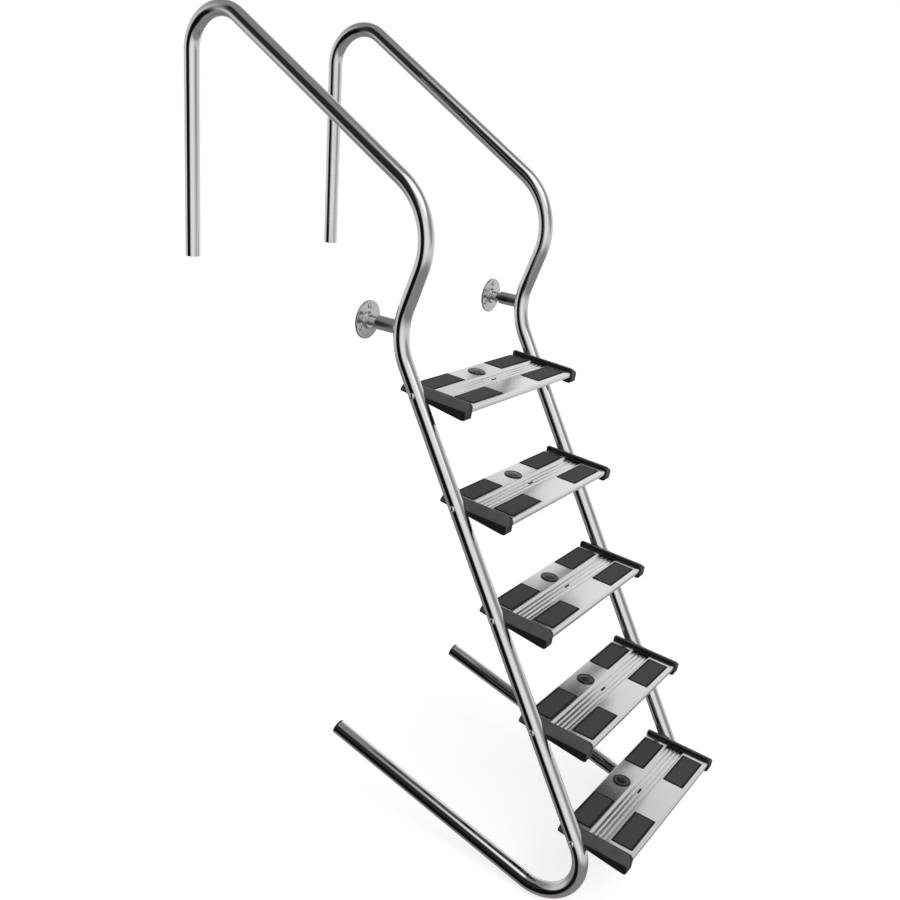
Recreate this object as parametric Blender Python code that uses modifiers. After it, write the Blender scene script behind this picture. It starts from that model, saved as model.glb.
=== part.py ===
"""Inclined pool ladder with five deep treads between two bent stainless side rails.

Metres, +Z up, X across the ladder, -Y towards the pool, +Y towards the wall and the deck.
The origin is under the middle of the ladder's bounding box, on the level of its lowest point.
"""

from math import ceil, cos, pi, radians, sin, tan

import bmesh
import bpy
from mathutils import Matrix, Vector

# ---- driving dimensions ---------------------------------------------------------------------

RAIL_SPACING = 0.550          # between the axes of the two side rails
RAIL_RADIUS = 0.019
RAIL_WALL = 0.0016
RAIL_SIDES = 12               # facets round a tube

# Corners of one rail's centre line, (distance from the wall, height over the bottom corner).
# Positive distances are over the deck, negative ones over the pool.
LEG_FOOT = (0.555, 1.350)
APEX_CORNER = (0.595, 2.018)
GOOSENECK_TOP = (-0.171, 1.565)
GOOSENECK_FOOT = (-0.084, 1.282)
BOTTOM_CORNER = (-0.857, 0.0)
TAIL_END = (-0.026, 0.2305)
BEND_RADII = (0.096, 0.165, 0.163, 0.105)
BEND_STEP = radians(9.0)      # one facet of a bend

TREADS = 5
FIRST_TREAD = 0.1315          # along the incline, from the gooseneck's foot to the first tread
TREAD_PITCH = 0.2698          # along the incline
TREAD_TILT = radians(3.4)     # the nose is a little lower, so that water runs off
TREAD_REAR = 0.0415           # from the rail's axis to the rear edge
TREAD_FRONT = 0.134           # from the rail's axis to the front edge

PLATE_THICKNESS = 0.0015
PLATE_LIP = 0.015             # the turned-down front and rear edges
PLATE_HALF = 0.2430           # half the plate's length
EDGE_FOLD = 0.0012            # the bend of the rear edge, between two short flats
FRONT_FOLD = 0.006            # the softer bend of the front edge
FOLD_MIDDLE = 0.3             # its middle line, as a share of the bend from the corner
CHANNEL = (0.0200, 0.0670)    # the ribbed channel, measured forwards from the rail's axis
CHANNEL_DEPTH = 0.005
CHANNEL_RIBS = 3
RIB_HEIGHT = 0.002
RIB_FLANK = 0.3               # each sloping side's share of a rib's width
SLOT_LENGTH = 0.024           # drain slot in the middle of the channel
SLOT_WIDTH = 0.007

CAP_INNER = 0.2435            # an end cap spans these two distances from the middle
CAP_OUTER = 0.2720
CAP_RISE = 0.010              # its inner ridge stands proud of the plate
CAP_FALL = 0.002              # the ridge is this much lower at the front
CAP_RIDGE = 0.2520            # from here the top slopes down outwards
CAP_SHOULDER = -0.006         # to this level at the outer side
CAP_DROP = 0.011              # its lower edge starts this far below the plate at the rear
CAP_NOSE = 0.030              # and slopes down to this depth at the nose
NOSE_FOOT = 0.014             # the flat under the nose
CAP_FRONT = 0.137             # from the rail's axis to the nose
CAP_REAR = 0.0435             # from the rail's axis to the rear end
CAP_EDGE = 0.002              # bevel of the side edges
CAP_WALL = 0.004
CAP_POCKET = (0.045, 0.101)   # the hollow under the cap, forwards from the rail's axis
POCKET_TOP = -0.009
SPIGOT_LENGTH = 0.009         # the cap's two tongues under the plate
SPIGOT_DROP = 0.010           # how low they reach
SPIGOT_INSET = 0.009          # their outer edges lie this far inside the plate's
CHANNEL_TONGUE = 0.2350       # a third tongue lies in the channel from here to the cap
TONGUE_EDGE = 0.003           # steel left showing on each side of it
TONGUE_LEVELS = (-0.0022, 0.0004)

PAD_INNER = 0.0853            # a grip pad spans these two distances from the middle
PAD_OUTER = 0.2226
REAR_PAD = (-0.0388, 0.0160)
FRONT_PAD = (0.0700, 0.1240)
PAD_RISE = 0.0012
PAD_WEB = 0.003               # joins the two pads of one insert, under the channel
WEB_CLEARANCE = 0.001         # between the web and the plate's underside
WEB_INSET = 0.012             # the web's edges lie this far inside the pads'
PAD_CORNER = 0.003

STRIP_WIDTH = 0.040           # the insert's strip under the channel, towards the drain slot
STRIP_END = 0.0006            # it stops this far from the middle

BADGE_PLACE = 0.0057          # the disc's middle, behind the rail's axis
BADGE_RADIUS = 0.0225
BADGE_HEIGHT = 0.003

BOLT_RADIUS = 0.004
BOLT_HEAD_RADIUS = 0.0075
BOLT_HEAD_HEIGHT = 0.0055
BOLT_REACH = 0.026            # how far the shank goes in from the rail's axis
BOLT_DROP = 0.007             # the bolt lies this far under the tread's surface

ANCHOR_HEIGHT = 1.3045        # the wall anchor's axis, over the bottom corner
FLANGE_RADIUS = 0.045
FLANGE_THICKNESS = 0.005
HUB_RADIUS = 0.019
HUB_LENGTH = 0.012
ROD_RADIUS = 0.0115
SOCKET_RADIUS = 0.0165
SOCKET_LENGTH = 0.045
FLANGE_SCREWS = 3
SCREW_CIRCLE = 0.0325
SCREW_RADIUS = 0.003
SCREW_HEAD_RADIUS = 0.0062
SCREW_HEAD_HEIGHT = 0.0030

PLUG_RIM = 0.004              # the tail plug's visible rim
PLUG_SPIGOT = 0.018

GAP = 0.0003                  # left between pieces that touch

# ---- the rail's centre line -----------------------------------------------------------------


def filletPath(corners, radii, step):
    """Straight runs between the corners, with an arc of the given radius at each inner one."""
    points = [Vector(corners[0])]
    for before, corner, after, radius in zip(corners, corners[1:], corners[2:], radii):
        here = Vector(corner)
        back = (Vector(before) - here).normalized()
        ahead = (Vector(after) - here).normalized()
        half = back.angle(ahead) / 2
        centre = here + (back + ahead).normalized() * (radius / sin(half))
        start = here + back * (radius / tan(half)) - centre
        turn = pi - 2 * half
        side = 1 if start.y * back.x - start.x * back.y > 0 else -1
        steps = ceil(turn / step)
        for index in range(steps + 1):
            angle = side * turn * index / steps
            points.append(centre + Matrix.Rotation(angle, 2) @ start)
    points.append(Vector(corners[-1]))
    return points


CORNERS = (LEG_FOOT, APEX_CORNER, GOOSENECK_TOP, GOOSENECK_FOOT, BOTTOM_CORNER, TAIL_END)
CENTRE_LINE = filletPath(CORNERS, BEND_RADII, BEND_STEP)

incline = Vector(BOTTOM_CORNER) - Vector(GOOSENECK_FOOT)
incline.normalize()
treadSeats = [
    Vector(GOOSENECK_FOOT) + incline * (FIRST_TREAD + TREAD_PITCH * index)
    for index in range(TREADS)
]

# ---- the origin: under the middle of the whole ladder ---------------------------------------

lowest = min(point.y for point in CENTRE_LINE) - RAIL_RADIUS
rearMost = max(point.x for point in CENTRE_LINE) + RAIL_RADIUS
noseCorner = Matrix.Rotation(TREAD_TILT, 2) @ Vector((-CAP_FRONT, -CAP_NOSE / 2))
frontMost = treadSeats[-1].x + noseCorner.x
MIDDLE = (rearMost + frontMost) / 2


def place(x, point):
    """A point (wall distance, height over the bottom corner) in the ladder's own frame."""
    return Vector((x, point[0] - MIDDLE, point[1] - lowest))


# ---- scene, collections, materials ----------------------------------------------------------

for leftover in list(bpy.data.objects):
    bpy.data.objects.remove(leftover, do_unlink=True)

parts = bpy.data.collections.new("pool_ladder")
cutters = bpy.data.collections.new("cutters")
for collection in (parts, cutters):
    bpy.context.scene.collection.children.link(collection)


def finish(name, colour, roughness, metallic):
    """A Principled material."""
    material = bpy.data.materials.new(name)
    material.use_nodes = True
    shader = material.node_tree.nodes["Principled BSDF"]
    shader.inputs["Base Color"].default_value = (*colour, 1.0)
    shader.inputs["Roughness"].default_value = roughness
    shader.inputs["Metallic"].default_value = metallic
    return material


polishedSteel = finish("polished_steel", (0.70, 0.70, 0.71), 0.12, 1.0)
satinSteel = finish("satin_steel", (0.72, 0.72, 0.73), 0.32, 1.0)
darkPlastic = finish("dark_plastic", (0.060, 0.060, 0.062), 0.45, 0.0)
gripRubber = finish("grip_rubber", (0.040, 0.040, 0.042), 0.75, 0.0)

# ---- small modelling helpers ----------------------------------------------------------------


def addObject(name, mesh, material, collection):
    """Links a mesh into the scene as a named object with its material."""
    thing = bpy.data.objects.new(name, mesh)
    if material and not mesh.materials:
        mesh.materials.append(material)
    collection.objects.link(thing)
    return thing


def meshFrom(bm, name):
    """Turns a bmesh into a mesh with its faces outwards."""
    bmesh.ops.remove_doubles(bm, verts=bm.verts, dist=1e-6)
    bmesh.ops.recalc_face_normals(bm, faces=bm.faces)
    mesh = bpy.data.meshes.new(name)
    bm.to_mesh(mesh)
    bm.free()
    return mesh


def smooth(mesh, degrees=35):
    """Smooth shading with sharp edges kept."""
    mesh.shade_smooth()
    mesh.set_sharp_from_angle(angle=radians(degrees))
    return mesh


def addCutter(name, bm):
    """A tool body that only cuts or joins, shown as wire and never rendered."""
    cutter = addObject(name, meshFrom(bm, name), None, cutters)
    cutter.hide_render = True
    cutter.display_type = "WIRE"
    return cutter


def combine(target, cutter, operation):
    """A live Boolean of the target with a cutter."""
    modifier = target.modifiers.new(operation.lower(), "BOOLEAN")
    modifier.operation = operation
    modifier.solver = "EXACT"
    modifier.object = cutter


def bake(thing):
    """The evaluated mesh of an object, in the object's own coordinates; the object is removed."""
    bpy.context.view_layer.update()
    depsgraph = bpy.context.evaluated_depsgraph_get()
    mesh = bpy.data.meshes.new_from_object(thing.evaluated_get(depsgraph))
    bpy.data.objects.remove(thing, do_unlink=True)
    return mesh


def mirrored(mesh, name):
    """The same mesh on the other side of X = 0."""
    bm = bmesh.new()
    bm.from_mesh(mesh)
    bmesh.ops.scale(bm, vec=(-1.0, 1.0, 1.0), verts=bm.verts)
    bmesh.ops.reverse_faces(bm, faces=bm.faces)
    other = bpy.data.meshes.new(name)
    bm.to_mesh(other)
    bm.free()
    for material in mesh.materials:
        other.materials.append(material)
    return other


def addBlock(bm, low, high, corner=0.0):
    """Adds a box between two corners to a bmesh, with its upright edges rounded."""
    size = Vector(high) - Vector(low)
    middle = (Vector(high) + Vector(low)) / 2
    matrix = Matrix.Translation(middle) @ Matrix.Diagonal((*size, 1.0))
    verts = bmesh.ops.create_cube(bm, size=1.0, matrix=matrix)["verts"]
    if corner:
        upright = {
            edge for vert in verts for edge in vert.link_edges
            if abs(edge.verts[0].co.z - edge.verts[1].co.z) > size.z / 2
        }
        bmesh.ops.bevel(bm, geom=list(upright), offset=corner, segments=2, affect="EDGES", profile=0.5)


def addRod(bm, start, end, radius, sides):
    """Adds a closed cylinder between two points to a bmesh."""
    axis = Vector(end) - Vector(start)
    turn = Vector((0, 0, 1)).rotation_difference(axis).to_matrix().to_4x4()
    matrix = Matrix.Translation((Vector(start) + Vector(end)) / 2) @ turn
    bmesh.ops.create_cone(
        bm, cap_ends=True, segments=sides, radius1=radius, radius2=radius,
        depth=axis.length, matrix=matrix)


def boreRadius(radius, sides):
    """The radius of a faceted hole whose flats clear a round of the given radius."""
    return (radius + GAP) / cos(pi / sides)


def turned(profile, sides, name):
    """A profile of (radius, height) points turned about Z."""
    bm = bmesh.new()
    verts = [bm.verts.new((radius, 0.0, height)) for radius, height in profile]
    edges = [bm.edges.new(pair) for pair in zip(verts, verts[1:])]
    bmesh.ops.spin(
        bm, geom=verts + edges, axis=(0, 0, 1), cent=(0, 0, 0), angle=2 * pi, steps=sides)
    return smooth(meshFrom(bm, name))


def extruded(outline, x0, x1, name):
    """A closed (y, z) outline carried along X from x0 to x1."""
    bm = bmesh.new()
    face = bm.faces.new([bm.verts.new((x0, y, z)) for y, z in outline])
    grown = bmesh.ops.extrude_face_region(bm, geom=[face])["geom"]
    moved = [item for item in grown if isinstance(item, bmesh.types.BMVert)]
    bmesh.ops.translate(bm, vec=(x1 - x0, 0, 0), verts=moved)
    return meshFrom(bm, name)


def roundedOutline(corners, steps=3):
    """A closed outline from (y, z, radius) corners, each rounded by an arc of its radius."""
    outline = []
    count = len(corners)
    for index, (y, z, radius) in enumerate(corners):
        here = Vector((y, z))
        back = (Vector(corners[index - 1][:2]) - here).normalized()
        ahead = (Vector(corners[(index + 1) % count][:2]) - here).normalized()
        if radius == 0:
            outline.append(here)
            continue
        half = back.angle(ahead) / 2
        centre = here + (back + ahead).normalized() * (radius / sin(half))
        start = here + back * (radius / tan(half)) - centre
        side = 1 if start.y * back.x - start.x * back.y > 0 else -1
        for step in range(steps + 1):
            angle = side * (pi - 2 * half) * step / steps
            outline.append(centre + Matrix.Rotation(angle, 2) @ start)
    return outline


# ---- side rails -----------------------------------------------------------------------------

boltDrop = BOLT_DROP / -incline.y
boltPoints = [seat + incline * boltDrop for seat in treadSeats]


def sideRail(name, x):
    """A bent tube, open at both ends, drilled across for the tread bolts."""
    curve = bpy.data.curves.new(name, "CURVE")
    curve.dimensions = "3D"
    curve.bevel_depth = RAIL_RADIUS
    curve.bevel_resolution = (RAIL_SIDES - 4) // 2
    curve.use_fill_caps = False
    spline = curve.splines.new("POLY")
    spline.points.add(len(CENTRE_LINE) - 1)
    for knot, point in zip(spline.points, CENTRE_LINE):
        knot.co = (*place(x, point), 1.0)
    mesh = bake(addObject(name + "_route", curve, None, cutters))
    bpy.data.curves.remove(curve)
    bm = bmesh.new()
    bm.from_mesh(mesh)
    bpy.data.meshes.remove(mesh)
    rail = addObject(name, smooth(meshFrom(bm, name)), polishedSteel, parts)
    wall = rail.modifiers.new("wall", "SOLIDIFY")
    wall.thickness = RAIL_WALL
    wall.offset = -1.0
    drill = bmesh.new()
    for point in boltPoints:
        middle = place(x, point)
        reach = Vector((2 * RAIL_RADIUS, 0, 0))
        addRod(drill, middle - reach, middle + reach, boreRadius(BOLT_RADIUS, 12), 12)
    combine(rail, addCutter(name + "_drill", drill), "DIFFERENCE")
    return rail


# ---- tread pieces, in a tread's own frame: origin between the rails' axes, -Y to the pool ----

inclineLocal = Matrix.Rotation(-TREAD_TILT, 2) @ incline
railHalf = RAIL_SPACING / 2


def treadPlate():
    """Pressed sheet: two flat bands, a ribbed channel between them, lips turned down."""
    y0, y1 = CHANNEL
    slope = CHANNEL_DEPTH
    floor = -CHANNEL_DEPTH
    section = [
        (TREAD_REAR, -PLATE_LIP), (TREAD_REAR, -EDGE_FOLD), (TREAD_REAR - EDGE_FOLD, 0.0),
        (-y0, 0.0),
    ]
    channelRun = (y1 - y0 - 2 * slope) / (CHANNEL_RIBS * 2 + 1)
    y = -y0 - slope
    section.append((y, floor))
    for _ in range(CHANNEL_RIBS):
        y -= channelRun
        section.append((y, floor))
        section.append((y - channelRun * RIB_FLANK, floor + RIB_HEIGHT))
        section.append((y - channelRun * (1 - RIB_FLANK), floor + RIB_HEIGHT))
        y -= channelRun
        section.append((y, floor))
    section.append((-y1 + slope, floor))
    section += [
        (-y1, 0.0), (-TREAD_FRONT + FRONT_FOLD, 0.0),
        (-TREAD_FRONT + FOLD_MIDDLE * FRONT_FOLD, -FOLD_MIDDLE * FRONT_FOLD),
        (-TREAD_FRONT, -FRONT_FOLD), (-TREAD_FRONT, -PLATE_LIP),
    ]
    bm = bmesh.new()
    left = [bm.verts.new((-PLATE_HALF, y, z)) for y, z in section]
    right = [bm.verts.new((PLATE_HALF, y, z)) for y, z in section]
    for index in range(len(section) - 1):
        bm.faces.new((left[index], right[index], right[index + 1], left[index + 1]))
    mesh = bpy.data.meshes.new("tread_plate")
    bm.normal_update()
    if sum(face.normal.z for face in bm.faces) < 0:
        bmesh.ops.reverse_faces(bm, faces=bm.faces)
    bm.to_mesh(mesh)
    bm.free()
    plate = addObject("tread_plate", mesh, satinSteel, cutters)
    sheet = plate.modifiers.new("sheet", "SOLIDIFY")
    sheet.thickness = PLATE_THICKNESS
    sheet.offset = -1.0
    sheet.use_even_offset = True
    windows = bmesh.new()
    for side in (-1, 1):
        for near, far in (REAR_PAD, FRONT_PAD):
            xs = sorted((side * (PAD_INNER - GAP), side * (PAD_OUTER + GAP)))
            addBlock(
                windows, (xs[0], -far - GAP, -0.05), (xs[1], -near + GAP, 0.05), PAD_CORNER)
    channelMiddle = -(y0 + y1) / 2
    addBlock(
        windows, (-SLOT_LENGTH / 2, channelMiddle - SLOT_WIDTH / 2, -0.05),
        (SLOT_LENGTH / 2, channelMiddle + SLOT_WIDTH / 2, 0.05), SLOT_WIDTH * 0.45)
    cutter = addCutter("tread_windows", windows)
    combine(plate, cutter, "DIFFERENCE")
    mesh = smooth(bake(plate))
    bpy.data.objects.remove(cutter, do_unlink=True)
    return mesh


def gripInsert():
    """Front and rear grip pad of the left end, joined by a web that runs under the channel."""
    under = -CHANNEL_DEPTH - PLATE_THICKNESS - WEB_CLEARANCE
    bm = bmesh.new()
    addBlock(
        bm, (-PAD_OUTER + WEB_INSET, -FRONT_PAD[1] + WEB_INSET, under - PAD_WEB),
        (-PAD_INNER - WEB_INSET, -REAR_PAD[0] - WEB_INSET, under))
    web = addObject("grip_insert", meshFrom(bm, "grip_insert"), gripRubber, cutters)
    channelMiddle = -(CHANNEL[0] + CHANNEL[1]) / 2
    bm = bmesh.new()
    addBlock(
        bm, (-PAD_INNER - 2 * WEB_INSET, channelMiddle - STRIP_WIDTH / 2, under - PAD_WEB + GAP),
        (-STRIP_END, channelMiddle + STRIP_WIDTH / 2, under - GAP))
    tools = [addCutter("grip_strip", bm)]
    combine(web, tools[0], "UNION")
    for label, (near, far) in (("rear", REAR_PAD), ("front", FRONT_PAD)):
        bm = bmesh.new()
        addBlock(
            bm, (-PAD_OUTER, -far, under - PAD_WEB - WEB_CLEARANCE), (-PAD_INNER, -near, PAD_RISE),
            PAD_CORNER)
        tool = addCutter("grip_" + label, bm)
        combine(web, tool, "UNION")
        tools.append(tool)
    mesh = bake(web)
    for tool in tools:
        bpy.data.objects.remove(tool, do_unlink=True)
    return smooth(mesh, 30)


def endCap():
    """Moulded left end cap: inner ridge, hooked nose, rail saddle, bolt bore, pocket below."""
    front = -CAP_FRONT
    outline = roundedOutline([
        (CAP_REAR, -CAP_DROP, 0.003), (CAP_REAR, CAP_RISE, 0.005),
        (front, CAP_RISE - CAP_FALL, 0.012), (front, -CAP_NOSE, 0.007),
        (front + NOSE_FOOT, -CAP_NOSE, 0.006)])
    body = addObject(
        "end_cap", extruded(outline, -CAP_OUTER, -CAP_INNER, "end_cap"), darkPlastic, cutters)
    rounding = body.modifiers.new("rounding", "BEVEL")
    rounding.width = CAP_EDGE
    rounding.segments = 1
    rounding.limit_method = "ANGLE"
    rounding.angle_limit = radians(50)
    slope = bmesh.new()
    steep = (CAP_RISE - CAP_SHOULDER) / (CAP_OUTER - CAP_RIDGE)
    over = CAP_OUTER + CAP_WALL
    section = [
        (-CAP_RIDGE, CAP_RISE), (-over, CAP_SHOULDER - CAP_WALL * steep), (-over, 2 * CAP_RISE),
        (-CAP_RIDGE, 2 * CAP_RISE)]
    ends = [[slope.verts.new((x, y, z)) for x, z in section] for y in (-2 * CAP_FRONT, CAP_FRONT)]
    slope.faces.new(ends[0])
    slope.faces.new(ends[1][::-1])
    for index in range(len(section)):
        after = (index + 1) % len(section)
        slope.faces.new((ends[0][after], ends[0][index], ends[1][index], ends[1][after]))
    bmesh.ops.recalc_face_normals(slope, faces=slope.faces)
    slopeTool = addCutter("cap_slope", slope)
    combine(body, slopeTool, "DIFFERENCE")
    tongues = bmesh.new()
    rearTongue = (-TREAD_REAR + SPIGOT_INSET, CHANNEL[0] - TONGUE_EDGE)
    frontTongue = (CHANNEL[1] + TONGUE_EDGE, TREAD_FRONT - SPIGOT_INSET)
    for low, high in (rearTongue, frontTongue):
        addBlock(
            tongues, (-CAP_INNER - CAP_WALL, -high, -SPIGOT_DROP),
            (-CAP_INNER + SPIGOT_LENGTH, -low, -PLATE_THICKNESS - GAP))
    addBlock(
        tongues, (-CAP_INNER - CAP_WALL, -CHANNEL[1] + TONGUE_EDGE, TONGUE_LEVELS[0]),
        (-CHANNEL_TONGUE, -CHANNEL[0] - TONGUE_EDGE, TONGUE_LEVELS[1]))
    tools = [slopeTool, addCutter("cap_tongues", tongues)]
    combine(body, tools[1], "UNION")
    hollows = bmesh.new()
    saddleReach = Vector((0, inclineLocal.x, inclineLocal.y)) * 0.08
    axis = Vector((-railHalf, 0, 0))
    addRod(hollows, axis - saddleReach, axis + saddleReach, boreRadius(RAIL_RADIUS, 32), 32)
    tools.append(addCutter("cap_saddle", hollows))
    combine(body, tools[2], "DIFFERENCE")
    pocket = bmesh.new()
    addBlock(
        pocket, (-CAP_OUTER + CAP_WALL, -CAP_POCKET[1], -2 * CAP_NOSE),
        (-CAP_INNER - CAP_WALL, -CAP_POCKET[0], POCKET_TOP))
    tools.append(addCutter("cap_pocket", pocket))
    combine(body, tools[3], "DIFFERENCE")
    bore = bmesh.new()
    bolt = Vector((0, inclineLocal.x, inclineLocal.y)) * boltDrop
    addRod(
        bore, bolt + Vector((-railHalf, 0, 0)),
        bolt + Vector((-railHalf + BOLT_REACH + 0.001, 0, 0)), boreRadius(BOLT_RADIUS, 12), 12)
    tools.append(addCutter("cap_bore", bore))
    combine(body, tools[4], "DIFFERENCE")
    mesh = smooth(bake(body))
    for tool in tools:
        bpy.data.objects.remove(tool, do_unlink=True)
    return mesh


def dome(radius, height, steps):
    """Points of a low dome's outer side, from its rim up to the axis."""
    return [
        (radius * cos(pi / 2 * step / steps), height * sin(pi / 2 * step / steps))
        for step in range(steps + 1)
    ]


def treadBolt():
    """Domed bolt along Z: the head's seat at 0, the shank below it."""
    length = RAIL_RADIUS + BOLT_REACH
    profile = [(0, -length), (BOLT_RADIUS, -length), (BOLT_RADIUS, GAP), (BOLT_HEAD_RADIUS, GAP)]
    profile += [(r, GAP + 0.0015 + z) for r, z in dome(BOLT_HEAD_RADIUS, BOLT_HEAD_HEIGHT - 0.0015, 2)]
    return turned(profile, 12, "tread_bolt")


def flangeScrew():
    """Low domed screw along Z: the head's seat at 0, the shank inside the flange below it."""
    length = FLANGE_THICKNESS - 0.0005
    profile = [(0, -length), (SCREW_RADIUS, -length), (SCREW_RADIUS, GAP), (SCREW_HEAD_RADIUS, GAP)]
    profile += [(r, GAP + 0.0005 + z) for r, z in dome(SCREW_HEAD_RADIUS, SCREW_HEAD_HEIGHT, 2)]
    return turned(profile, 10, "flange_screw")


def badgeDisc():
    """Plain domed disc on the rear band."""
    profile = [(0, GAP), (BADGE_RADIUS, GAP), (BADGE_RADIUS, 0.0012)]
    profile += [
        (r, 0.0012 + z) for r, z in dome(BADGE_RADIUS - 0.0008, BADGE_HEIGHT - 0.0012, 2)]
    return turned(profile, 20, "badge_disc")


def tailPlug():
    """Plug along Z: rim outside the tube's end, spigot inside it below."""
    inside = (RAIL_RADIUS - RAIL_WALL) * cos(pi / RAIL_SIDES) - GAP
    profile = [
        (0, -PLUG_SPIGOT), (inside - 0.001, -PLUG_SPIGOT), (inside, -PLUG_SPIGOT + 0.001),
        (inside, GAP), (RAIL_RADIUS, GAP), (RAIL_RADIUS, PLUG_RIM - 0.0015),
        (RAIL_RADIUS - 0.0015, PLUG_RIM), (0, PLUG_RIM)]
    return turned(profile, 16, "tail_plug")


# ---- wall anchor pieces, along Z from the wall (0) towards the rail -------------------------


def anchorFlange():
    """Round flange with a hub; its back is flat, and three holes go through it."""
    bore = boreRadius(ROD_RADIUS, 20)
    profile = [
        (0, 0), (FLANGE_RADIUS, 0), (FLANGE_RADIUS, FLANGE_THICKNESS - 0.0015),
        (FLANGE_RADIUS - 0.0015, FLANGE_THICKNESS), (HUB_RADIUS + 0.003, FLANGE_THICKNESS),
        (HUB_RADIUS + 0.0008, FLANGE_THICKNESS + 0.0008), (HUB_RADIUS, FLANGE_THICKNESS + 0.003),
        (HUB_RADIUS, HUB_LENGTH - 0.001), (HUB_RADIUS - 0.001, HUB_LENGTH), (bore, HUB_LENGTH),
        (bore, FLANGE_THICKNESS - 0.002), (0, FLANGE_THICKNESS - 0.002)]
    flange = addObject("anchor_flange", turned(profile, 28, "anchor_flange"), polishedSteel, cutters)
    drill = bmesh.new()
    for index in range(FLANGE_SCREWS):
        centre = screwCentre(index)
        addRod(
            drill, centre - Vector((0, 0, 0.01)), centre + Vector((0, 0, 0.02)),
            boreRadius(SCREW_RADIUS, 14), 14)
    tool = addCutter("flange_drill", drill)
    combine(flange, tool, "DIFFERENCE")
    mesh = smooth(bake(flange))
    bpy.data.objects.remove(tool, do_unlink=True)
    return mesh


def screwCentre(index):
    """Centre of a flange screw; the first is at the top (+Y in the anchor's frame is up)."""
    angle = pi / 2 + 2 * pi * index / FLANGE_SCREWS
    return Vector((SCREW_CIRCLE * cos(angle), SCREW_CIRCLE * sin(angle), 0))


def rod():
    """Plain round rod between the flange's hub and the socket."""
    start = FLANGE_THICKNESS - 0.002 + GAP
    end = anchorRun - RAIL_RADIUS - 0.008
    bm = bmesh.new()
    addRod(bm, (0, 0, start), (0, 0, end), ROD_RADIUS, 20)
    return smooth(meshFrom(bm, "anchor_rod"))


def socket(name, x):
    """Short tube on the rail that takes the rod, coped to the rail's bend."""
    start = anchorRun - RAIL_RADIUS - SOCKET_LENGTH
    bm = bmesh.new()
    addRod(bm, anchorPoint(x, start), anchorPoint(x, anchorRun), SOCKET_RADIUS, 24)
    tube = addObject(name, smooth(meshFrom(bm, name)), polishedSteel, parts)
    route = bpy.data.curves.new(name + "_cope", "CURVE")
    route.dimensions = "3D"
    route.bevel_depth = boreRadius(RAIL_RADIUS, 16)
    route.bevel_resolution = 6
    route.use_fill_caps = True
    spline = route.splines.new("POLY")
    near = [point for point in CENTRE_LINE if abs(point.y - ANCHOR_HEIGHT) < 0.12]
    spline.points.add(len(near) - 1)
    for knot, point in zip(spline.points, near):
        knot.co = (*place(x, point), 1.0)
    mesh = bake(addObject(name + "_route", route, None, cutters))
    bpy.data.curves.remove(route)
    bm = bmesh.new()
    bm.from_mesh(mesh)
    bpy.data.meshes.remove(mesh)
    combine(tube, addCutter(name + "_cope", bm), "DIFFERENCE")
    bm = bmesh.new()
    addRod(
        bm, anchorPoint(x, start - 0.01), anchorPoint(x, anchorRun), boreRadius(ROD_RADIUS, 20), 20)
    combine(tube, addCutter(name + "_bore", bm), "DIFFERENCE")


def railAt(height):
    """Wall distance of the rail's axis near the wall anchor, at a height."""
    for low, high in zip(CENTRE_LINE[1:], CENTRE_LINE):
        between = min(low.y, high.y) <= height <= max(low.y, high.y)
        if between and high.x < 0 and low.x < 0 and high.y > low.y:
            share = (height - low.y) / (high.y - low.y)
            return low.x + share * (high.x - low.x)
    raise ValueError("the anchor's height is not on the rail")


anchorRun = -railAt(ANCHOR_HEIGHT)


def anchorPoint(x, run):
    """A point on an anchor's axis, at a distance out from the wall."""
    return place(x, (-run, ANCHOR_HEIGHT))


# ---- assembly -------------------------------------------------------------------------------

SIDES = (("left", -1), ("right", 1))
anchorTurn = Matrix(((1, 0, 0), (0, 0, -1), (0, 1, 0)))    # Z to the pool, Y up
tailWay = (Vector(TAIL_END) - Vector(BOTTOM_CORNER)).normalized()

capMesh = endCap()
gripMesh = gripInsert()
boltMesh = treadBolt()
screwMesh = flangeScrew()
plateMesh = treadPlate()
badgeMesh = badgeDisc()
plugMesh = tailPlug()
flangeMesh = anchorFlange()
rodMesh = rod()
capMeshes = {"left": capMesh, "right": mirrored(capMesh, "end_cap_right")}
gripMeshes = {"left": gripMesh, "right": mirrored(gripMesh, "grip_insert_right")}

for side, sign in SIDES:
    x = sign * railHalf
    sideRail("rail_" + side, x)
    plug = addObject("tail_plug_" + side, plugMesh, darkPlastic, parts)
    plug.location = place(x, TAIL_END)
    plug.rotation_mode = "QUATERNION"
    plug.rotation_quaternion = Vector((0, 0, 1)).rotation_difference(Vector((0, *tailWay)))
    socket("anchor_socket_" + side, x)
    for label, mesh in (("flange", flangeMesh), ("rod", rodMesh)):
        piece = addObject("anchor_" + label + "_" + side, mesh, polishedSteel, parts)
        piece.matrix_world = Matrix.Translation(anchorPoint(x, 0)) @ anchorTurn.to_4x4()
    for index in range(FLANGE_SCREWS):
        screw = addObject("flange_screw_%s_%d" % (side, index + 1), screwMesh, satinSteel, parts)
        seat = anchorPoint(x, FLANGE_THICKNESS) + anchorTurn @ screwCentre(index)
        screw.matrix_world = Matrix.Translation(seat) @ anchorTurn.to_4x4()

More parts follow.
